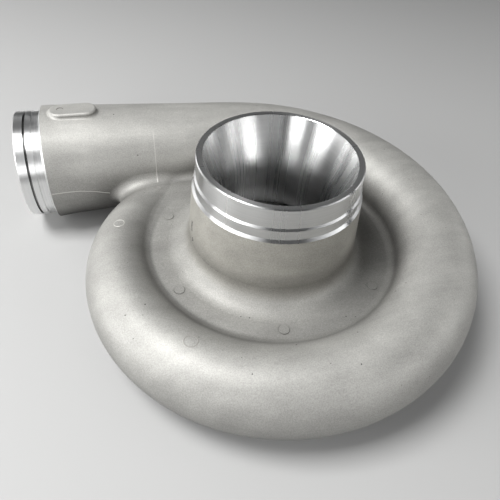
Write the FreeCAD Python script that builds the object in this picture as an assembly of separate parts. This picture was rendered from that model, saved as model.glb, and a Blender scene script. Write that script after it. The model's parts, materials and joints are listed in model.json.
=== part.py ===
import FreeCAD, Part
import math
import os

# Compressor housing of a turbocharger: one aluminium casting, machined at its openings.
# The inlet stands up along +Z. The scroll winds counter-clockwise seen from the inlet and
# its duct leaves along -X. The origin is the centre of the rear register, on the rear
# flange face. Lengths are in millimetres and angles in degrees.

# Heights above the rear flange face
RIM_Z = 146.0                 # inlet rim
FLOOR_Z = 57.0                # outer face of the floor between inlet boss and scroll
FLOOR_THICKNESS = 6.5
DIFFUSER_GAP = 7.0            # open slot between the floor's inner face and the scroll's lip

# Inlet spigot, from the rim down
SPIGOT_RADIUS = 63.5
SPIGOT_WALL = 4.9             # width of the rim
RIM_CHAMFER = 0.8
RIM_INNER_BREAK = 0.4
BAND_1_LENGTH = 16.6
LEDGE_STEP = 1.4
BAND_2_LENGTH = 7.8
SHOULDER_STEP = 1.9           # from band 2 out to the cast wall
BOSS_DRAFT = 4.0
BOSS_FILLET = 18.5

# Inlet bore: cone, throat, then the shroud that the wheel runs under
CONE_DEPTH = 42.0
THROAT_RADIUS = 44.5
SHROUD_RADIUS = 66.0          # where the shroud turns into the flat diffuser face
SHROUD_HEIGHT = 32.0

# Scroll sections are circles in planes through the inlet axis
WALL = 5.0
TONGUE_ANGLE = 95.0           # buried start of the scroll
EXIT_ANGLE = 450.0            # where the straight duct begins
SPLIT_ANGLE = 300.0           # where one loft hands over to the next
FLOOR_FROM_ANGLE = 115.0      # from here on the scroll, not the duct, borders the floor
TONGUE_RADIUS = 16.0          # outer section radius at the tongue, then a quarter turn apart
RADIUS_180 = 28.6
RADIUS_270 = 33.0
RADIUS_360 = 36.7
RADIUS_450 = 44.4
CENTRE_RADIUS_90 = 122.0      # the centre line is an Archimedean spiral
CENTRE_RADIUS_450 = 150.2
START_CENTRE_Z = 40.0
START_DROP_SHARE = 0.75       # before 180 degrees it drops by this share of the radius it lacks
EXIT_CENTRE_Z = 56.8
RISE_FROM_ANGLE = 225.0       # the centre line climbs between these two angles
RISE_TO_ANGLE = 405.0
STATION_ANGLE = 15.0          # from one section to the next
CREASE_FILLET = 7.0
TONGUE_FILLET = 9.5

# Outlet duct and its machined collar
DUCT_LENGTH = 183.2
DUCT_END_RADIUS = 54.3
DUCT_STATIONS = 5
OUTLET_BORE_RADIUS = 45.5
COLLAR_RADIUS = 50.1
COLLAR_LENGTH = 24.5
COLLAR_SHOULDER = 2.4
LIP_LENGTH = 8.4
LIP_CHAMFER = 0.8
GROOVE_WIDTH = 2.1
GROOVE_DEPTH = 2.4
LAND_1_LENGTH = 4.8
LAND_STEP = 0.6

# Oval pad on top of the duct
PAD_FROM_COLLAR = 29.2        # from the pad's middle to where the collar begins
PAD_LENGTH = 43.0
PAD_WIDTH = 21.0
PAD_TOP_Z = 113.0
PAD_EDGE = 2.0
PAD_FOOT_FILLET = 2.5
PAD_SPOT_RADIUS = 3.2
PAD_SPOT_DEPTH = 0.4
PAD_SPOT_OFFSET = 11.0

# Rear flange with its register, plate bore and tapped holes
FLANGE_RADIUS = 121.0
FLANGE_THICKNESS = 22.0
FLANGE_EDGE = 1.5
REGISTER_RADIUS = 104.0
REGISTER_DEPTH = 10.0
PLATE_BORE_RADIUS = 100.0
BORE_CHAMFER = 0.8
BOLT_COUNT = 8
BOLT_CIRCLE_RADIUS = 112.5
BOLT_HOLE_RADIUS = 3.4
BOLT_HOLE_DEPTH = 16.0
BOLT_POINT_ANGLE = 118.0

# Ejector-pin marks on the floor
MARK_CIRCLE_RADIUS = 94.5
MARK_FIRST_ANGLE = 150.0
MARK_PITCH_ANGLE = 55.0
MARK_COUNT = 4
MARK_RADIUS = 4.0
MARK_HEIGHT = 0.5
MARK_EDGE = 0.35

# Worked out from the sizes above
CUT_OVERRUN = 1.0             # how far cutting tools run past the faces they open
TOLERANCE = 0.01              # an edge this close to a height lies on it
DIFFUSER_FACE_Z = FLOOR_Z - FLOOR_THICKNESS
LIP_Z = DIFFUSER_FACE_Z - DIFFUSER_GAP
SPIGOT_BORE_RADIUS = SPIGOT_RADIUS - SPIGOT_WALL
BAND_2_RADIUS = SPIGOT_RADIUS + LEDGE_STEP
BOSS_RADIUS = BAND_2_RADIUS + SHOULDER_STEP
DUCT_Y = CENTRE_RADIUS_450
DUCT_X = -DUCT_LENGTH
OUTLET_X = DUCT_X - COLLAR_LENGTH
PAD_X = DUCT_X + PAD_FROM_COLLAR


def vec(r, z):
    """A point of a profile in the XZ plane, ready to be turned about Z."""
    return FreeCAD.Vector(r, 0.0, z)


def line(a, b):
    return Part.makeLine(vec(*a), vec(*b))


def polyline(points):
    return [line(a, b) for a, b in zip(points, points[1:])]


def turned(edges):
    """Solid of revolution about Z from the edges of a closed profile."""
    face = Part.Face(Part.Wire(edges))
    return face.revolve(FreeCAD.Vector(0, 0, 0), FreeCAD.Vector(0, 0, 1), 360.0)


def boss_fillet_points():
    """Ends and middle of the arc from the floor up to the drafted boss wall."""
    draft = math.radians(BOSS_DRAFT)
    top_z = RIM_Z - BAND_1_LENGTH - LEDGE_STEP - BAND_2_LENGTH - SHOULDER_STEP
    centre_z = FLOOR_Z + BOSS_FILLET
    wall_r = BOSS_RADIUS + (top_z - centre_z) * math.tan(draft)
    centre_r = wall_r + BOSS_FILLET / math.cos(draft)
    wall_end = (centre_r - BOSS_FILLET * math.cos(draft), centre_z - BOSS_FILLET * math.sin(draft))
    half = (math.radians(90.0) + draft) / 2.0
    middle = (centre_r - BOSS_FILLET * math.sin(half), centre_z - BOSS_FILLET * math.cos(half))
    return (centre_r, FLOOR_Z), middle, wall_end


def floor_radius():
    """The floor ends inside the scroll, a wall thickness past the widest place of its crease."""
    creases = []
    for angle in scroll_angles(FLOOR_FROM_ANGLE, EXIT_ANGLE):
        rise = FLOOR_Z - section_centre_z(angle)
        inward = math.sqrt(max(section_radius(angle) ** 2 - rise ** 2, 0.0))
        creases.append(centre_radius(angle) - inward)
    return max(creases) + WALL


def boss_and_floor():
    """Rear flange, floor, inlet boss and the outside of the inlet spigot, still solid inside."""
    floor_end, middle, wall_end = boss_fillet_points()
    floor_r = floor_radius()
    band_1_z = RIM_Z - BAND_1_LENGTH
    band_2_top_z = band_1_z - LEDGE_STEP
    band_2_z = band_2_top_z - BAND_2_LENGTH
    below = polyline([(0.0, 0.0), (FLANGE_RADIUS - FLANGE_EDGE, 0.0), (FLANGE_RADIUS, FLANGE_EDGE),
                      (FLANGE_RADIUS, FLANGE_THICKNESS), (floor_r, FLANGE_THICKNESS + BOSS_FILLET),
                      (floor_r, FLOOR_Z), floor_end])
    fillet = [Part.Arc(vec(*floor_end), vec(*middle), vec(*wall_end)).toShape()]
    above = polyline([wall_end, (BOSS_RADIUS, band_2_z - SHOULDER_STEP), (BAND_2_RADIUS, band_2_z),
                      (BAND_2_RADIUS, band_2_top_z), (SPIGOT_RADIUS, band_1_z),
                      (SPIGOT_RADIUS, RIM_Z - RIM_CHAMFER), (SPIGOT_RADIUS - RIM_CHAMFER, RIM_Z),
                      (0.0, RIM_Z), (0.0, 0.0)])
    return turned(below + fillet + above)


def bore_and_diffuser():
    """Everything turned out of the middle: inlet cone, throat, shroud, diffuser slot, bores."""
    throat_z = RIM_Z - CONE_DEPTH
    shroud_z = DIFFUSER_FACE_Z + SHROUD_HEIGHT
    slot_r = max(FLANGE_RADIUS - WALL, REGISTER_RADIUS + 2.0 * WALL)
    slope = (SPIGOT_BORE_RADIUS - THROAT_RADIUS) / CONE_DEPTH
    mouth_r = SPIGOT_BORE_RADIUS + RIM_INNER_BREAK
    over_r = mouth_r + CUT_OVERRUN
    shroud = Part.BezierCurve()
    shroud.setPoles([vec(THROAT_RADIUS, shroud_z), vec(THROAT_RADIUS, shroud_z - 0.55 * SHROUD_HEIGHT),
                     vec(THROAT_RADIUS + 0.35 * (SHROUD_RADIUS - THROAT_RADIUS), DIFFUSER_FACE_Z),
                     vec(SHROUD_RADIUS, DIFFUSER_FACE_Z)])
    inlet = polyline([(0.0, RIM_Z + CUT_OVERRUN), (over_r, RIM_Z + CUT_OVERRUN), (mouth_r, RIM_Z),
                      (SPIGOT_BORE_RADIUS - slope * RIM_INNER_BREAK, RIM_Z - RIM_INNER_BREAK),
                      (THROAT_RADIUS, throat_z), (THROAT_RADIUS, shroud_z)])
    rear = polyline([(SHROUD_RADIUS, DIFFUSER_FACE_Z), (slot_r, DIFFUSER_FACE_Z), (slot_r, LIP_Z),
                     (PLATE_BORE_RADIUS + BORE_CHAMFER, LIP_Z), (PLATE_BORE_RADIUS, LIP_Z - BORE_CHAMFER),
                     (PLATE_BORE_RADIUS, REGISTER_DEPTH), (REGISTER_RADIUS, REGISTER_DEPTH),
                     (REGISTER_RADIUS, BORE_CHAMFER), (REGISTER_RADIUS + BORE_CHAMFER, 0.0),
                     (REGISTER_RADIUS + BORE_CHAMFER, -CUT_OVERRUN), (0.0, -CUT_OVERRUN),
                     (0.0, RIM_Z + CUT_OVERRUN)])
    return turned(inlet + [shroud.toShape()] + rear)


def section_radius(angle):
    """Outer radius of the scroll section: the one polynomial through the five gauged radii."""
    stations = ((TONGUE_ANGLE, TONGUE_RADIUS), (180.0, RADIUS_180), (270.0, RADIUS_270),
                (360.0, RADIUS_360), (EXIT_ANGLE, RADIUS_450))
    total = 0.0
    for own_angle, radius in stations:
        weight = 1.0
        for other_angle, _ in stations:
            if other_angle != own_angle:
                weight *= (angle - other_angle) / (own_angle - other_angle)
        total += radius * weight
    return total


def section_centre_z(angle):
    """Height of the scroll's centre line: it rises from the tongue, runs level, then climbs."""
    if angle < 180.0:
        return START_CENTRE_Z - START_DROP_SHARE * (RADIUS_180 - section_radius(angle))
    u = (angle - RISE_FROM_ANGLE) / (RISE_TO_ANGLE - RISE_FROM_ANGLE)
    u = min(max(u, 0.0), 1.0)
    ease = (1.0 - math.cos(math.pi * u)) / 2.0
    return START_CENTRE_Z + (EXIT_CENTRE_Z - START_CENTRE_Z) * ease


def centre_radius(angle):
    """Distance of the scroll's centre line from the inlet axis."""
    return CENTRE_RADIUS_90 + (CENTRE_RADIUS_450 - CENTRE_RADIUS_90) * (angle - 90.0) / 360.0


def section_circle(angle, inset):
    """Circle of the scroll at one angle, drawn in a plane through the inlet axis."""
    turn = math.radians(angle)
    outward = FreeCAD.Vector(math.cos(turn), math.sin(turn), 0.0)
    centre = outward * centre_radius(angle)
    centre.z = section_centre_z(angle)
    return placed_circle(section_radius(angle) - inset, centre, outward)


def placed_circle(radius, centre, outward):
    """Circle whose start point lies outward and whose plane holds Z, so lofts don't twist."""
    up = FreeCAD.Vector(0, 0, 1)
    circle = Part.Wire([Part.makeCircle(radius)])
    circle.Placement = FreeCAD.Placement(centre, FreeCAD.Rotation(outward, up, outward.cross(up), "XYZ"))
    return circle


def duct_circle(x, radius):
    return placed_circle(radius, FreeCAD.Vector(x, DUCT_Y, EXIT_CENTRE_Z), FreeCAD.Vector(0, 1, 0))


def scroll_angles(start, end):
    count = max(2, round((end - start) / STATION_ANGLE))
    return [start + (end - start) * i / count for i in range(count + 1)]


def scroll_lofts(inset, duct_end_x, duct_end_radius):
    """The scroll and its duct as two lofts: tongue to the split, and split to the outlet."""
    first = [section_circle(a, inset) for a in scroll_angles(TONGUE_ANGLE, SPLIT_ANGLE)]
    second = [section_circle(a, inset) for a in scroll_angles(SPLIT_ANGLE, EXIT_ANGLE)]
    start_radius = RADIUS_450 - inset
    for i in range(1, DUCT_STATIONS + 1):
        share = i / DUCT_STATIONS
        radius = start_radius + (duct_end_radius - start_radius) * share
        second.append(duct_circle(duct_end_x * share, radius))
    return [Part.makeLoft(first, True, False), Part.makeLoft(second, True, False)]


def outlet_collar():
    """Machined end of the duct: lip, groove, two lands and the shoulder up to the cast duct."""
    land_2_radius = COLLAR_RADIUS - LAND_STEP
    groove_x = LIP_LENGTH
    land_1_x = groove_x + GROOVE_WIDTH
    land_2_x = land_1_x + LAND_1_LENGTH
    shoulder_x = COLLAR_LENGTH - COLLAR_SHOULDER
    profile = polyline([(0.0, 0.0), (COLLAR_RADIUS - LIP_CHAMFER, 0.0), (COLLAR_RADIUS, LIP_CHAMFER),
                        (COLLAR_RADIUS, groove_x), (COLLAR_RADIUS - GROOVE_DEPTH, groove_x),
                        (COLLAR_RADIUS - GROOVE_DEPTH, land_1_x), (COLLAR_RADIUS, land_1_x),
                        (COLLAR_RADIUS, land_2_x), (land_2_radius, land_2_x + LAND_STEP),
                        (land_2_radius, shoulder_x), (DUCT_END_RADIUS, COLLAR_LENGTH),
                        (0.0, COLLAR_LENGTH), (0.0, 0.0)])
    collar = turned(profile)
    collar.rotate(FreeCAD.Vector(0, 0, 0), FreeCAD.Vector(0, 1, 0), 90.0)
    collar.translate(FreeCAD.Vector(OUTLET_X, DUCT_Y, EXIT_CENTRE_Z))
    return collar


def oval_pad():
    """Rounded oval pad on top of the duct, with one shallow round spot near its outlet end."""
    radius = PAD_WIDTH / 2.0
    half = PAD_LENGTH / 2.0 - radius
    up = FreeCAD.Vector(0, 0, 1)
    foot = FreeCAD.Vector(PAD_X, DUCT_Y, EXIT_CENTRE_Z)
    height = PAD_TOP_Z - EXIT_CENTRE_Z
    pad = Part.makeBox(2.0 * half, PAD_WIDTH, height, foot - FreeCAD.Vector(half, radius, 0))
    for side in (-half, half):
        pad = pad.fuse(Part.makeCylinder(radius, height, foot + FreeCAD.Vector(side, 0, 0), up))
    pad = pad.removeSplitter()
    rim = [e for e in pad.Edges if all(abs(v.Z - PAD_TOP_Z) < TOLERANCE for v in e.Vertexes)]
    pad = pad.makeFillet(PAD_EDGE, rim)
    spot = FreeCAD.Vector(PAD_X - PAD_SPOT_OFFSET, DUCT_Y, PAD_TOP_Z - PAD_SPOT_DEPTH)
    return pad.cut(Part.makeCylinder(PAD_SPOT_RADIUS, PAD_SPOT_DEPTH + CUT_OVERRUN, spot, up))


def ejector_marks():
    """Low round marks that the die's ejector pins left on the floor."""
    marks = []
    for i in range(MARK_COUNT):
        turn = math.radians(MARK_FIRST_ANGLE + MARK_PITCH_ANGLE * i)
        foot = FreeCAD.Vector(MARK_CIRCLE_RADIUS * math.cos(turn), MARK_CIRCLE_RADIUS * math.sin(turn),
                              FLOOR_Z - MARK_HEIGHT)
        marks.append(Part.makeCone(MARK_RADIUS + 2.0 * MARK_EDGE, MARK_RADIUS, 2.0 * MARK_HEIGHT, foot,
                                   FreeCAD.Vector(0, 0, 1)))
    return marks


def bolt_holes():
    """Tapped blind holes in the rear flange, modelled at the thread's core size."""
    point = BOLT_HOLE_RADIUS / math.tan(math.radians(BOLT_POINT_ANGLE / 2.0))
    hole = turned(polyline([(0.0, -CUT_OVERRUN), (BOLT_HOLE_RADIUS, -CUT_OVERRUN),
                            (BOLT_HOLE_RADIUS, BOLT_HOLE_DEPTH), (0.0, BOLT_HOLE_DEPTH + point),
                            (0.0, -CUT_OVERRUN)]))
    holes = []
    for i in range(BOLT_COUNT):
        turn = 2.0 * math.pi * (i + 0.5) / BOLT_COUNT
        across = FreeCAD.Vector(math.cos(turn), math.sin(turn), 0)
        copy = hole.copy()
        copy.translate(across * BOLT_CIRCLE_RADIUS)
        holes.append(copy)
    return holes


def edge_middle(edge):
    return edge.valueAt((edge.FirstParameter + edge.LastParameter) / 2.0)


def is_tongue_edge(edge):
    """Where the start of the scroll runs into the side of the duct, above their lower halves."""
    middle = edge_middle(edge)
    beside_duct = DUCT_X < middle.x < 0.0 < middle.y
    return beside_duct and middle.z > START_CENTRE_Z and math.hypot(middle.x, middle.y) > CENTRE_RADIUS_90


def is_crease_edge(edge):
    """Where the scroll's inner flank or the duct stands up from the floor."""
    middle = edge_middle(edge)
    in_floor = edge.BoundBox.ZLength < TOLERANCE and abs(middle.z - FLOOR_Z) < TOLERANCE
    return in_floor and math.hypot(middle.x, middle.y) > MARK_CIRCLE_RADIUS


def is_pad_foot_edge(edge):
    """Where the pad's wall stands on the duct, below its rounded rim."""
    box = edge.BoundBox
    on_duct = EXIT_CENTRE_Z + RADIUS_450 < box.ZMin and box.ZMax < PAD_TOP_Z - PAD_EDGE - TOLERANCE
    along = abs(box.Center.x - PAD_X) + box.XLength / 2.0 < PAD_LENGTH / 2.0 + CUT_OVERRUN
    across = abs(box.Center.y - DUCT_Y) + box.YLength / 2.0 < PAD_WIDTH / 2.0 + CUT_OVERRUN
    return on_duct and along and across


def with_fillet(shape, radius, chosen):
    """The shape with its chosen edges blended, or as it is where a size leaves none of them."""
    edges = [edge for edge in shape.Edges if chosen(edge)]
    return shape.makeFillet(radius, edges) if edges else shape


def cast_outside():
    """Outer form of the casting, solid inside, with its large blends."""
    outside = boss_and_floor().multiFuse(scroll_lofts(0.0, DUCT_X, DUCT_END_RADIUS) + [outlet_collar()])
    outside = with_fillet(outside, TONGUE_FILLET, is_tongue_edge)
    outside = with_fillet(outside, CREASE_FILLET, is_crease_edge)
    outside = with_fillet(outside.fuse(oval_pad()), PAD_FOOT_FILLET, is_pad_foot_edge)
    return outside.multiFuse(ejector_marks())


def air_passage():
    """The hollow of the casting: inlet, diffuser slot, scroll passage and duct bore."""
    return bore_and_diffuser().multiFuse(scroll_lofts(WALL, OUTLET_X - CUT_OVERRUN, OUTLET_BORE_RADIUS))


def compressor_housing():
    """The whole casting as one solid."""
    return cast_outside().cut(air_passage()).cut(Part.makeCompound(bolt_holes()))


os.makedirs("parts", exist_ok=True)
housing = compressor_housing()
print("valid", housing.isValid(), "solids", len(housing.Solids), "faces", len(housing.Faces),
      "volume cm3", round(housing.Volume / 1000.0, 1))
housing.exportStep("parts/compressor_housing.step")
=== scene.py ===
import json
import math
import random

import bpy
from mathutils import Matrix, Vector
from mathutils.bvhtree import BVHTree


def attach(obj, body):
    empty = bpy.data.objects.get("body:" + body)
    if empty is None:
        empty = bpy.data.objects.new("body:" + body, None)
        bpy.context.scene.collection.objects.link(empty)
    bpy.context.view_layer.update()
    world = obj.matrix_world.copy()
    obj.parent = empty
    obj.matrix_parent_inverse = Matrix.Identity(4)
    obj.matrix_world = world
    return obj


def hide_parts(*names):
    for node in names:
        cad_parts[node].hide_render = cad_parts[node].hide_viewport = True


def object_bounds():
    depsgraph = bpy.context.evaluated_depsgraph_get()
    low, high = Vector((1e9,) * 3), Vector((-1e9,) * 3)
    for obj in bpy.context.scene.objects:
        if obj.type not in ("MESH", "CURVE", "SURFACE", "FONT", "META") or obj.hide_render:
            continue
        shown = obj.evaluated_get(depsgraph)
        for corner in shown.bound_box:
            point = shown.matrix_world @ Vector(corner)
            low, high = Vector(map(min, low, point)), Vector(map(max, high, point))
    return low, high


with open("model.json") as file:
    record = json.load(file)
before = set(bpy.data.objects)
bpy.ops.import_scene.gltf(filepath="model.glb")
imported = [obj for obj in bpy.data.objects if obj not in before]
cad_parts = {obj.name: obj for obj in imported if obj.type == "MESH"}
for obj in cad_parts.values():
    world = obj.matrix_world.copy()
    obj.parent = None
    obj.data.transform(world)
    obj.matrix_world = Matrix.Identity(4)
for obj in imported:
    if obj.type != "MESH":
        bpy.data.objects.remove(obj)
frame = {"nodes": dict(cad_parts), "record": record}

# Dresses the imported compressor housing. Lengths are in metres, angles in degrees, in the frame
# of the part: the inlet stands up along +Z and the duct leaves along -X.

MM = 0.001
NODE = "compressor_housing"
BODY = "root"
mounts = {mount["name"]: mount for mount in frame["record"]["mounts"]}
cad_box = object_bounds()

# Heights and radii of the faces that were machined, as in the part's source
RIM_Z = cad_box[1][2]
RIM_CHAMFER = 0.5 * MM
BANDS_LOW_Z = RIM_Z - 27.7 * MM          # lower edge of the turned bands on the inlet spigot
BOSS_RADIUS = 66.8 * MM
MOUTH_RADIUS = 58.6 * MM
THROAT_RADIUS = 44.5 * MM
THROAT_Z = RIM_Z - 42.0 * MM
SHROUD_Z = 82.5 * MM
SHROUD_RADIUS = 66.0 * MM
DIFFUSER_FACE_Z = 50.5 * MM
LIP_Z = 43.5 * MM
PLATE_BORE_RADIUS = mounts["plate_bore"]["dims"]["r_mm"] * MM
REGISTER_RADIUS = mounts["rear_register"]["dims"]["r_mm"] * MM
REGISTER_DEPTH = 10.0 * MM
FLANGE_RADIUS = 121.0 * MM
FLANGE_THICKNESS = 22.0 * MM
HOLE_CIRCLE_RADIUS = mounts["rear_bolts"]["dims"]["pcd_mm"] * MM / 2.0
HOLE_RADIUS = mounts["rear_bolts"]["dims"]["hole_r_mm"] * MM
HOLE_DEEPEST_Z = 18.2 * MM
DUCT_X = -183.2 * MM                     # where the machined collar begins
DUCT_Y = mounts["outlet_spigot"]["pos_m"][1]
DUCT_Z = mounts["outlet_spigot"]["pos_m"][2]
FACETS = 1.0 * MM                        # how far a round bore's facets may lie outside its radius
EDGE_CHAMFER = 2.0 * MM
ACROSS_BORE = 0.3                        # a bore's wall faces less than this along the bore
SLACK = 0.05 * MM

# The lining of cone and throat
LINING_BEND = 60.0 * MM                  # radius of the soft bend from cone to throat
LINING_STEPS = 192
LINING_INSET = 0.4 * MM                  # it starts under the rim's chamfer
CONE_STEPS = 12
THROAT_STEPS = 4

# Camera, solved from the photograph's circles and outline
PHOTO_SIZE = 500.0
FOCAL_PIXELS = 489.45
SENSOR_WIDTH_MM = 36.0
CAMERA_AZIMUTH = -21.07
CAMERA_ELEVATION = 33.90
CAMERA_ROLL = 7.19
CAMERA_DISTANCE = 0.3718                 # from the middle of the inlet rim
CAMERA_NEAR = 0.01
RIM_PIXEL = (280.86, 154.70)             # where the middle of the inlet rim shows

# Blasted casting skin
# Painted shade: the skin darkens towards this colour where nearby walls hide the sky
SKIN_CORNER_SHADE = (0.104, 0.101, 0.094, 1.0)
SKIN_OPEN = (0.432, 0.427, 0.411, 1.0)
CORNER_REACH = 50.0 * MM                 # how near another wall makes a corner
CORNER_SHARES = (0.39, 0.89)             # of free sky: full painted corner shade, and none
SMEAR_STRETCH = (0.22, 1.0, 1.0)         # smears run lengthwise along the duct
# Painted shade: the skin grows darker towards the foot, in place of a dark reflection from below
LOW_SHADE_HEIGHTS = (12.0 * MM, 78.0 * MM)
LOW_SHADE = 0.42
FLOOR_RADII = (70.0 * MM, 95.0 * MM)     # from the boss's wall out to the floor
BOSS_TINT = (0.86, 0.845, 0.795, 1.0)
# A painted highlight on the blend round the boss's foot
FOOT_HIGHLIGHT = (1.14, 1.14, 1.12, 1.0)
SCROLL_TINT = (1.0, 1.0, 0.985, 1.0)
CREASE_SHADED_SIDE = (-0.95, -0.31, 0.0)   # the side where shade is painted into the floor's crease
CREASE_SPAN = (0.35, 0.95)               # how far towards that side it begins and is full
CREASE_INNER = (100.0 * MM, 104.0 * MM)
CREASE_OUTER = (136.0 * MM, 106.0 * MM)
CREASE_SHADE = 0.60
SKIN_ROUGHNESS = (0.53, 0.60)
SKIN_METALLIC = 0.45

# Turned metal, its tints before the tone of each face
TURNED_DARK = (0.87, 0.877, 0.884)
TURNED_LIGHT = (1.13, 1.13, 1.116)
# Painted shade in the turned metal's tight corners and grooves
NOOK_REACH = 3.0 * MM
NOOK_SHARES = (0.35, 0.8)
NOOK_SHADE = 0.12
# Painted shade: the bore grows darker towards its deep end
BORE_SHADE_HEIGHTS = (84.0 * MM, 107.0 * MM)
BORE_SHADE = 0.58
NOISE_SPAN = (0.3, 0.7)                  # where most of a noise's values lie
WHOLE = (0.0, 1.0)

# Small things on the skin, by the photograph's pixels: lines with width and height, rings, scars
LINES = (("parting_line", ((52.0, 194.5), (66.0, 192.6), (80.0, 191.2), (96.0, 191.6), (110.0, 193.0)),
          1.0 * MM, 0.3 * MM),
         ("witness_line", ((153.0, 131.0), (155.5, 158.0), (158.0, 182.0)), 0.8 * MM, 0.12 * MM))
RINGS = (("mark_front", (191.0, 341.0), 5.0 * MM, "dull"), ("mark_left", (119.0, 223.0), 4.5 * MM, "pale"),
         ("mark_floor", (157.5, 188.0), 3.0 * MM, "dull"))
SCARS = (("scar_upper", ((192.3, 221.0), (191.8, 226.0), (192.0, 231.0)), 4.0 * MM),
         ("scar_lower", ((192.3, 237.0), (192.8, 241.0)), 3.5 * MM))
LINE_STEP = 1.5 * MM
RING_STEPS = 32
RING_WIDTH = 0.9 * MM
RING_HEIGHT = 0.25 * MM
SCAR_STEP = 1.0 * MM
SCAR_HEIGHT = 0.08 * MM
# A dark bead round the boss's foot, painted as the shadow of a thin groove
FOOT_RADIUS = 69.9 * MM                  # where the boss wall ends on its foot's blend
FOOT_Z = 74.2 * MM
FOOT_TURNS = range(163, 218, 2)
FOOT_WIDTH = 0.6 * MM
FOOT_HEIGHT = 0.06 * MM
BEAD_SHARES = (-1.0, -0.6, 0.0, 0.6, 1.0)   # across a bead's half width
BEAD_SUNK = 0.04 * MM                    # how deep its edges lie in the skin
SPECK_COUNT = 60
SPECK_SEED = 7
SPECK_REACH_MM = (80.0, 200.0)
SPECK_RADIUS_MM = (0.25, 0.6)
SPECK_LIFT = 0.03 * MM
SPECK_FROM_Z = 0.3                       # looked for downwards from here
SPECK_LEVEL = 0.3                        # only where the skin faces up at least this much

# Studio: soft boxes by name, azimuth, elevation, size and power, aimed at the part's middle
SOFT_BOXES = (("high_left_box", 180.0, 63.0, (0.6, 0.6), 23.0),
              ("low_left_box", 184.0, 15.0, (0.6, 0.6), 11.0),
              ("front_left_box", 229.0, 20.0, (0.5, 0.45), 4.2),
              ("front_right_box", 320.0, 21.0, (1.35, 0.35), 5.6),
              ("front_box", 268.0, 20.0, (0.8, 0.4), 0.9),
              ("right_box", 12.0, 16.0, (0.7, 0.4), 1.4),
              ("back_left_box", 142.0, 13.0, (1.35, 0.4), 4.0),
              ("high_back_box", 72.0, 45.0, (1.2, 0.8), 0.5))
DOME_RADIUS = 1.4                        # how far away the soft boxes stand
DOME_MIDDLE_Z = 0.06
FLOOR_SIZE = 8.0
FLOOR_COLOUR = (0.44, 0.44, 0.436, 1.0)
FLOOR_ROUGHNESS = 0.8
SURROUND_COLOUR = (0.9, 0.92, 0.95, 1.0)
SURROUND_STRENGTH = 0.05


def rotation_rows():
    """Right, down and forward axes of the camera as rows, and the way back to it from the rim."""
    azimuth, elevation, roll = (math.radians(a) for a in (CAMERA_AZIMUTH, CAMERA_ELEVATION, CAMERA_ROLL))
    back = Vector((math.sin(azimuth) * math.cos(elevation), -math.cos(azimuth) * math.cos(elevation),
                   math.sin(elevation)))
    right = Vector((math.cos(azimuth), math.sin(azimuth), 0.0))
    up = right.cross(-back)
    rows = Matrix((right, -up, -back))
    across = RIM_PIXEL[0] - PHOTO_SIZE / 2.0
    down = RIM_PIXEL[1] - PHOTO_SIZE / 2.0
    yaw = math.atan2(across, FOCAL_PIXELS)
    pitch = math.atan2(down, math.hypot(FOCAL_PIXELS, across))
    turn_y = Matrix.Rotation(yaw, 3, "Y")
    turn_x = Matrix.Rotation(-pitch, 3, "X")
    turn_z = Matrix.Rotation(roll, 3, "Z")
    return turn_y @ turn_x @ turn_z @ rows, back


def photo_camera():
    rows, back = rotation_rows()
    place = Vector((0.0, 0.0, RIM_Z)) + back * CAMERA_DISTANCE
    data = bpy.data.cameras.new("photo_camera")
    data.sensor_width = SENSOR_WIDTH_MM
    data.lens = SENSOR_WIDTH_MM * FOCAL_PIXELS / PHOTO_SIZE
    data.clip_start = CAMERA_NEAR
    camera = bpy.data.objects.new("photo_camera", data)
    columns = Matrix((rows[0], -rows[1], -rows[2])).transposed()
    camera.matrix_world = Matrix.Translation(place) @ columns.to_4x4()
    bpy.context.scene.collection.objects.link(camera)
    bpy.context.scene.camera = camera


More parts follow.
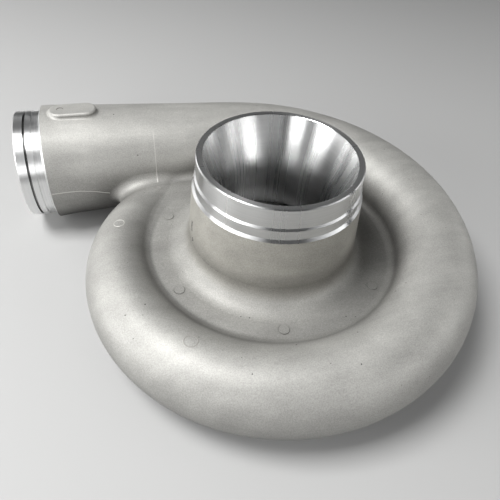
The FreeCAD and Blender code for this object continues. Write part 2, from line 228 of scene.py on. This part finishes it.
class Finish:
    """A new material with its principled shader, and the nodes that feed it."""

    def __init__(self, name):
        self.material = bpy.data.materials.new(name)
        self.material.use_nodes = True
        self.tree = self.material.node_tree
        self.shader = self.tree.nodes["Principled BSDF"]

    def add(self, kind, **settings):
        """A node with the given properties and input values."""
        node = self.tree.nodes.new("ShaderNode" + kind)
        for key, value in settings.items():
            if hasattr(node, key):
                setattr(node, key, value)
            else:
                node.inputs[key].default_value = value
        return node

    def feed(self, socket, value):
        """Link the socket to another, or set it to a fixed value."""
        if isinstance(value, bpy.types.NodeSocket):
            self.tree.links.new(value, socket)
        else:
            socket.default_value = value

    def place(self):
        """Where on the part a point of the surface lies."""
        return self.add("TexCoord").outputs["Object"]

    def noise(self, vector, scale, detail, roughness):
        node = self.add("TexNoise", Scale=scale, Detail=detail, Roughness=roughness)
        self.feed(node.inputs["Vector"], vector)
        return node.outputs["Fac"]

    def free_sky(self, reach, samples):
        """1 where nothing stands within reach, less in corners."""
        return self.add("AmbientOcclusion", Distance=reach, samples=samples).outputs["AO"]

    def ranged(self, value, taken, given, **settings):
        """The value, carried from one range to another."""
        node = self.add("MapRange", **settings)
        for name, number in zip(("From Min", "From Max", "To Min", "To Max"), taken + given):
            node.inputs[name].default_value = number
        self.feed(node.inputs["Value"], value)
        return node.outputs["Result"]

    def ramp(self, value, *stops):
        """The colour at the value, between stops of a share and a colour."""
        node = self.add("ValToRGB")
        elements = node.color_ramp.elements
        for element, stop in ((elements[0], stops[0]), (elements[1], stops[-1])):
            element.position, element.color = stop
        for share, colour in stops[1:-1]:
            elements.new(share).color = colour
        self.feed(node.inputs["Fac"], value)
        return node.outputs["Color"]

    def times(self, first, second):
        """Product of two values."""
        node = self.add("Math", operation="MULTIPLY")
        self.feed(node.inputs[0], first)
        self.feed(node.inputs[1], second)
        return node.outputs["Value"]

    def vector(self, operation, first, second=None):
        """Result of a vector operation; SCALE takes a value second."""
        node = self.add("VectorMath", operation=operation)
        self.feed(node.inputs[0], first)
        if second is not None:
            self.feed(node.inputs["Scale" if operation == "SCALE" else 1], second)
        return node.outputs["Value" if operation in ("DOT_PRODUCT", "LENGTH") else "Vector"]

    def bump(self, height, strength, distance, below=None):
        node = self.add("Bump", Strength=strength, Distance=distance)
        self.feed(node.inputs["Height"], height)
        if below is not None:
            self.feed(node.inputs["Normal"], below)
        return node.outputs["Normal"]

    def set(self, **values):
        """Sockets of the shader, with _ for the blanks in their names."""
        for name, value in values.items():
            self.feed(self.shader.inputs[name.replace("_", " ")], value)
        return self.material


def cast_material():
    """Blasted casting skin: warm grey with a fine grain, with shade painted into its corners to make them
    darker and duller.
    """
    skin = Finish("cast_skin")
    place = skin.place()
    mottle = skin.noise(place, 22.0, 5.0, 0.6)
    grain = skin.noise(place, 1150.0, 3.0, 0.65)
    peel = skin.noise(place, 150.0, 3.0, 0.5)
    smears = skin.noise(skin.vector("MULTIPLY", place, SMEAR_STRETCH), 75.0, 4.0, 0.6)
    # Painted shade in corners and creases, from how much free sky each point sees
    corner_shade = skin.ramp(skin.free_sky(CORNER_REACH, 16), (CORNER_SHARES[0], SKIN_CORNER_SHADE),
                     (CORNER_SHARES[1], SKIN_OPEN))

    # Uneven tone: patches, smears and grain, and painted shade, in place of a dark reflection, that grows
    # towards the foot
    tone = skin.times(skin.ranged(mottle, NOISE_SPAN, (0.88, 1.09)),
                      skin.ranged(smears, NOISE_SPAN, (0.91, 1.08)))
    tone = skin.times(tone, skin.ranged(grain, NOISE_SPAN, (0.80, 1.15)))
    height = skin.add("SeparateXYZ")
    skin.feed(height.inputs["Vector"], place)
    tone = skin.times(tone, skin.ranged(height.outputs["Z"], LOW_SHADE_HEIGHTS, (LOW_SHADE, 1.0)))
    colour = skin.vector("SCALE", corner_shade, tone)

    # Browner and darker on the boss, and a painted highlight on its foot's blend
    flat = skin.vector("MULTIPLY", place, (1.0, 1.0, 0.0))
    out = skin.vector("LENGTH", flat)
    warmth_and_highlight = skin.ramp(skin.ranged(out, FLOOR_RADII, WHOLE), (0.0, BOSS_TINT), (0.2, FOOT_HIGHLIGHT),
                       (0.6, FOOT_HIGHLIGHT), (1.0, SCROLL_TINT))
    colour = skin.vector("MULTIPLY", colour, warmth_and_highlight)

    # Painted shade in the floor's crease, on one side
    leftness = skin.vector("DOT_PRODUCT", skin.vector("NORMALIZE", flat), CREASE_SHADED_SIDE)
    inner, outer, side = (skin.ranged(value, taken, WHOLE, interpolation_type="SMOOTHSTEP") for value, taken
                          in ((out, CREASE_INNER), (out, CREASE_OUTER), (leftness, CREASE_SPAN)))
    crease_painted_shade = skin.times(skin.times(inner, outer), side)
    colour = skin.vector("SCALE", colour, skin.ranged(crease_painted_shade, WHOLE, (1.0, CREASE_SHADE)))

    coarse = skin.bump(peel, 0.35, 0.4 * MM)
    return skin.set(Base_Color=colour, Roughness=skin.ranged(mottle, NOISE_SPAN, SKIN_ROUGHNESS),
                    Metallic=SKIN_METALLIC, Normal=skin.bump(grain, 0.5, 0.12 * MM, coarse))


def turned_material(name, centre, axis, gloss_range, tone, shade_from=None):
    """Bright metal turned about an axis: streaks along the profile, and fine rings of the tool.

    gloss_range is how far the streaks vary the roughness, and tone how bright the metal is. The last argument
    names two
    heights along the axis: shade is painted there, the metal darker at the first and bright at the second.
    """
    metal = Finish(name)
    offset = metal.vector("SUBTRACT", metal.place(), centre)
    round_way = metal.vector("CROSS_PRODUCT", axis, offset)
    tangent = metal.vector("NORMALIZE", round_way)
    along = metal.vector("DOT_PRODUCT", offset, axis)
    profile = metal.add("CombineXYZ")
    metal.feed(profile.inputs["X"], along)
    metal.feed(profile.inputs["Y"], metal.vector("LENGTH", round_way))
    rings = metal.noise(profile.outputs["Vector"], 900.0, 2.0, 0.6)
    streaks = metal.noise(tangent, 9.0, 1.5, 0.5)
    dark, light = (tuple(value * tone for value in tint) + (1.0,) for tint in (TURNED_DARK, TURNED_LIGHT))
    # Painted shade where other walls stand close, as in grooves and corners
    nook_painted_shade = metal.ranged(metal.free_sky(NOOK_REACH, 8), NOOK_SHARES, (NOOK_SHADE, 1.0))
    colour = metal.vector("SCALE", metal.ramp(rings, (0.0, dark), (1.0, light)), nook_painted_shade)
    # Painted shade, darker deeper along the axis
    if shade_from:
        dull = metal.ranged(along, shade_from, (BORE_SHADE, 1.0), interpolation_type="SMOOTHSTEP")
        colour = metal.vector("SCALE", colour, dull)
    return metal.set(Base_Color=colour, Roughness=metal.ranged(streaks, WHOLE, gloss_range),
                     Tangent=tangent, Metallic=1.0, Anisotropic=0.8, Anisotropic_Rotation=0.25)


def plain_material(name, colour, roughness, metallic):
    """One even finish, for the thin lines and flecks, and the floor."""
    return Finish(name).set(Base_Color=colour, Roughness=roughness, Metallic=metallic)


def is_turned_inlet(r, z):
    """Spigot bands, rim, cone, throat and shroud."""
    bands = z > BANDS_LOW_Z - SLACK and r < BOSS_RADIUS + SLACK
    bore = DIFFUSER_FACE_Z - SLACK < z and r < BOSS_RADIUS - SLACK
    return bands or bore


def is_turned_rear(r, z):
    """Diffuser face and lip, plate bore, register, flange face and flange edge."""
    faces = min(abs(z - DIFFUSER_FACE_Z), abs(z - LIP_Z)) < SLACK and r < FLANGE_RADIUS
    plate_bore = z < LIP_Z and r < PLATE_BORE_RADIUS + FACETS
    register = z < REGISTER_DEPTH + SLACK and r < REGISTER_RADIUS + FACETS
    edge = FLANGE_RADIUS - EDGE_CHAMFER < r < FLANGE_RADIUS + SLACK and z < FLANGE_THICKNESS
    return faces or plate_bore or register or z < SLACK or edge


def is_shroud(r, z):
    """The flared wall under the throat, down to the diffuser face."""
    return THROAT_RADIUS - SLACK < r < SHROUD_RADIUS + SLACK and DIFFUSER_FACE_Z + SLACK < z < SHROUD_Z


def is_lining(r, z):
    """The inlet's cone and throat, which a finer piece shows instead."""
    return THROAT_RADIUS - SLACK < r < MOUTH_RADIUS - SLACK and SHROUD_Z < z < RIM_Z - RIM_CHAMFER


def finish_of(centre, normal):
    """Which finish a face takes, or none where the lining shows it."""
    r = math.hypot(centre.x, centre.y)
    inward = normal.x * centre.x + normal.y * centre.y < 0.0
    if centre.x < DUCT_X:
        faces_middle = normal.y * (centre.y - DUCT_Y) + normal.z * (centre.z - DUCT_Z) < 0.0
        return "cast" if faces_middle and abs(normal.x) < ACROSS_BORE else "turned_outlet"
    if inward and is_lining(r, centre.z):
        return None
    if inward and is_shroud(r, centre.z):
        return "turned_bore"
    if is_turned_inlet(r, centre.z):
        return "turned_inlet"
    if abs(r - HOLE_CIRCLE_RADIUS) < HOLE_RADIUS + SLACK and SLACK < centre.z < HOLE_DEEPEST_Z:
        return "tapped"
    return "turned_inlet" if is_turned_rear(r, centre.z) else "cast"


def new_piece(name, vertices, faces, material):
    """A smooth mesh object that rides on the part."""
    mesh = bpy.data.meshes.new(name)
    mesh.from_pydata(vertices, [], faces)
    mesh.shade_smooth()
    mesh.materials.append(material)
    piece = bpy.data.objects.new(name, mesh)
    bpy.context.scene.collection.objects.link(piece)
    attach(piece, BODY)
    return piece


def dressed_casting(finishes):
    """The casting's own surface with its exact normals, a finish on each face, open for the lining."""
    source = frame["nodes"][NODE].data
    normals = [corner.vector.copy() for corner in source.corner_normals]
    names = list(finishes)
    kept, slots = [], []
    for polygon in source.polygons:
        name = finish_of(polygon.center, polygon.normal)
        if name:
            kept.append(polygon)
            slots.append(names.index(name))
    used = sorted({index for polygon in kept for index in polygon.vertices})
    place = {index: i for i, index in enumerate(used)}
    vertices = [source.vertices[index].co.copy() for index in used]
    faces = [[place[index] for index in polygon.vertices] for polygon in kept]
    piece = new_piece("casting", vertices, faces, finishes[names[0]])
    for name in names[1:]:
        piece.data.materials.append(finishes[name])
    piece.data.polygons.foreach_set("material_index", slots)
    piece.data.normals_split_custom_set([normals[loop] for polygon in kept for loop in polygon.loop_indices])
    return piece


def lining_profile():
    """Radius and height down the inlet: cone, a soft bend where it meets the throat, and the throat."""
    slope = math.atan2(MOUTH_RADIUS - THROAT_RADIUS, RIM_Z - THROAT_Z)
    reach = LINING_BEND * math.tan(slope / 2.0)
    start_z = THROAT_Z + reach * math.cos(slope)
    points = [(MOUTH_RADIUS + (z - RIM_Z) * math.tan(slope), z)
              for z in (RIM_Z - LINING_INSET + (start_z - RIM_Z + LINING_INSET) * i / CONE_STEPS
                        for i in range(CONE_STEPS))]
    centre = (THROAT_RADIUS + LINING_BEND, THROAT_Z - reach)
    for i in range(CONE_STEPS + 1):
        turn = slope * (1.0 - i / CONE_STEPS)
        points.append((centre[0] - LINING_BEND * math.cos(turn), centre[1] + LINING_BEND * math.sin(turn)))
    low_z = THROAT_Z - reach
    points += [(THROAT_RADIUS, low_z + (SHROUD_Z - low_z) * i / THROAT_STEPS)
               for i in range(1, THROAT_STEPS + 1)]
    return points


def strip_faces(near, far, count):
    """Faces between two rows of points that start at near and far."""
    return [(near + j, near + j + 1, far + j + 1, far + j) for j in range(count - 1)]


def inlet_lining(material):
    """Cone and throat turned in one pass, with the bend between them that the tool leaves."""
    profile = lining_profile()
    count = len(profile)
    vertices, faces = [], []
    for i in range(LINING_STEPS):
        turn = 2.0 * math.pi * i / LINING_STEPS
        vertices += [(r * math.cos(turn), r * math.sin(turn), z) for r, z in profile]
        faces += strip_faces(i * count, (i + 1) % LINING_STEPS * count, count)
    return new_piece("inlet_lining", vertices, faces, material)


def skin_under(pixel):
    """Where the ray through a pixel of the photograph meets the casting, and the skin's normal there."""
    rows, back = rotation_rows()
    eye = Vector((0.0, 0.0, RIM_Z)) + back * CAMERA_DISTANCE
    across, down = ((value - PHOTO_SIZE / 2.0) / FOCAL_PIXELS for value in pixel)
    ray = rows.transposed() @ Vector((across, down, 1.0))
    place, normal, _, _ = skin_tree.ray_cast(eye, ray.normalized())
    return place, normal


def line_under(pixels, step):
    """Points on straight lines between the places under the pixels, a step apart at most."""
    points = [skin_under(pixel)[0] for pixel in pixels]
    filled = []
    for start, end in zip(points, points[1:]):
        count = max(1, math.ceil((end - start).length / step))
        filled += [start.lerp(end, i / count) for i in range(count)]
    return filled + [points[-1]]


def inside_box(point):
    """The point, kept inside the box of the exact part."""
    return Vector(min(max(value, low), high) for value, low, high in zip(point, *cad_box))


def bead(name, points, width, height, material, closed=False):
    """A low rounded bead along the points, each moved onto the casting's skin first."""
    on_skin = [skin_tree.find_nearest(point)[:2] for point in points]
    count = len(on_skin)
    row = len(BEAD_SHARES)
    vertices, faces = [], []
    for i, (place, normal) in enumerate(on_skin):
        if closed:
            ahead = on_skin[(i + 1) % count][0] - on_skin[i - 1][0]
        else:
            ahead = on_skin[min(i + 1, count - 1)][0] - on_skin[max(i - 1, 0)][0]
        side = ahead.cross(normal).normalized()
        for share in BEAD_SHARES:
            rise = height * (1.0 - share * share) - BEAD_SUNK
            vertices.append(inside_box(place + side * (share * width / 2.0) + normal * rise))
    for i in range(count if closed else count - 1):
        faces += strip_faces(row * i, row * ((i + 1) % count), row)
    return new_piece(name, vertices, faces, material)


def ring_points(centre, normal, radius):
    """Points of a circle that lies flat on the skin."""
    across = normal.orthogonal().normalized()
    along = normal.cross(across)
    turns = [2.0 * math.pi * i / RING_STEPS for i in range(RING_STEPS)]
    return [centre + (across * math.cos(turn) + along * math.sin(turn)) * radius for turn in turns]


def specks(material):
    """Small dark flecks and pits of the blasted skin, scattered over the casting."""
    chance = random.Random(SPECK_SEED)
    vertices, faces = [], []
    while len(faces) < SPECK_COUNT:
        around = chance.uniform(0.0, 2.0 * math.pi)
        aside = Vector((math.cos(around), math.sin(around), 0.0)) * chance.uniform(*SPECK_REACH_MM) * MM
        radius = chance.uniform(*SPECK_RADIUS_MM) * MM
        above = aside + Vector((0.0, 0.0, SPECK_FROM_Z))
        place, normal, _, _ = skin_tree.ray_cast(above, Vector((0.0, 0.0, -1.0)))
        if place is None or normal.z < SPECK_LEVEL:
            continue
        first = len(vertices)
        for point in ring_points(place, normal, radius)[::4]:
            vertices.append(inside_box(point + normal * SPECK_LIFT))
        faces.append(tuple(range(first, len(vertices))))
    return new_piece("specks", vertices, faces, material)


def detail_pieces():
    """Parting line, witness line, marks, scar and foot line where the photograph shows them, and flecks."""
    # Dark scale for scars and flecks, also used for the painted groove shadow at the boss's foot
    dark = plain_material("dark_scale_and_painted_shadow", (0.07, 0.068, 0.065, 1.0), 0.7, 0.0)
    dull = plain_material("dull_skin", (0.33, 0.32, 0.30, 1.0), 0.6, SKIN_METALLIC)
    pale = plain_material("rubbed_skin", (0.52, 0.51, 0.485, 1.0), 0.5, SKIN_METALLIC)
    made = [bead(name, line_under(pixels, LINE_STEP), width, height, pale)
            for name, pixels, width, height in LINES]
    for name, pixel, radius, metal in RINGS:
        points = ring_points(*skin_under(pixel), radius)
        made.append(bead(name, points, RING_WIDTH, RING_HEIGHT, {"dull": dull, "pale": pale}[metal], True))
    for name, pixels, width in SCARS:
        made.append(bead(name, line_under(pixels, SCAR_STEP), width, SCAR_HEIGHT, dark))
    turns = [math.radians(turn) for turn in FOOT_TURNS]
    foot = [Vector((FOOT_RADIUS * math.cos(turn), FOOT_RADIUS * math.sin(turn), FOOT_Z)) for turn in turns]
    # The foot line is a painted shadow of a thin groove
    made.append(bead("foot_groove_shadow", foot, FOOT_WIDTH, FOOT_HEIGHT, dark))
    made.append(specks(dark))
    return made


def soft_box(name, azimuth, elevation, size, power):
    """An area light on a dome round the part, aimed at its middle."""
    a, e = math.radians(azimuth), math.radians(elevation)
    away = Vector((math.cos(a) * math.cos(e), math.sin(a) * math.cos(e), math.sin(e)))
    middle = Vector((0.0, 0.0, DOME_MIDDLE_Z))
    data = bpy.data.lights.new(name, "AREA")
    data.shape = "RECTANGLE"
    data.size, data.size_y = size
    data.energy = power
    light = bpy.data.objects.new(name, data)
    light.location = middle + away * DOME_RADIUS
    light.rotation_euler = (middle - light.location).to_track_quat("-Z", "Y").to_euler()
    bpy.context.scene.collection.objects.link(light)


def studio():
    """Pale floor, faint surroundings and the soft boxes."""
    bpy.ops.mesh.primitive_plane_add(size=FLOOR_SIZE, location=(0.0, 0.0, 0.0))
    floor = bpy.context.object
    floor.name = "floor"
    floor.data.materials.append(plain_material("pale_floor", FLOOR_COLOUR, FLOOR_ROUGHNESS, 0.0))
    world = bpy.data.worlds.new("surround")
    bpy.context.scene.world = world
    world.use_nodes = True
    background = world.node_tree.nodes["Background"]
    background.inputs["Color"].default_value = SURROUND_COLOUR
    background.inputs["Strength"].default_value = SURROUND_STRENGTH
    for box in SOFT_BOXES:
        soft_box(*box)
    bpy.context.scene.view_settings.view_transform = "Standard"
    bpy.context.scene.view_settings.look = "None"


middle, up = (0.0, 0.0, 0.0), (0.0, 0.0, 1.0)
outlet_middle, outlet_axis = (0.0, DUCT_Y, DUCT_Z), (1.0, 0.0, 0.0)
turned_bore = turned_material("turned_bore", middle, up, (0.24, 0.31), 0.69, BORE_SHADE_HEIGHTS)
finishes = {"cast": cast_material(),
            "turned_bore": turned_bore,
            "turned_inlet": turned_material("turned_inlet", middle, up, (0.27, 0.28), 0.60),
            "turned_outlet": turned_material("turned_outlet", outlet_middle, outlet_axis, (0.38, 0.40), 0.80),
            "tapped": turned_material("tapped", middle, up, (0.3, 0.4), 0.6)}
exact = frame["nodes"][NODE].data
skin_tree = BVHTree.FromPolygons([vertex.co for vertex in exact.vertices],
                                 [polygon.vertices for polygon in exact.polygons])
pieces = [dressed_casting(finishes), inlet_lining(turned_bore)] + detail_pieces()
for piece in pieces:
    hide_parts(NODE)
photo_camera()
studio()
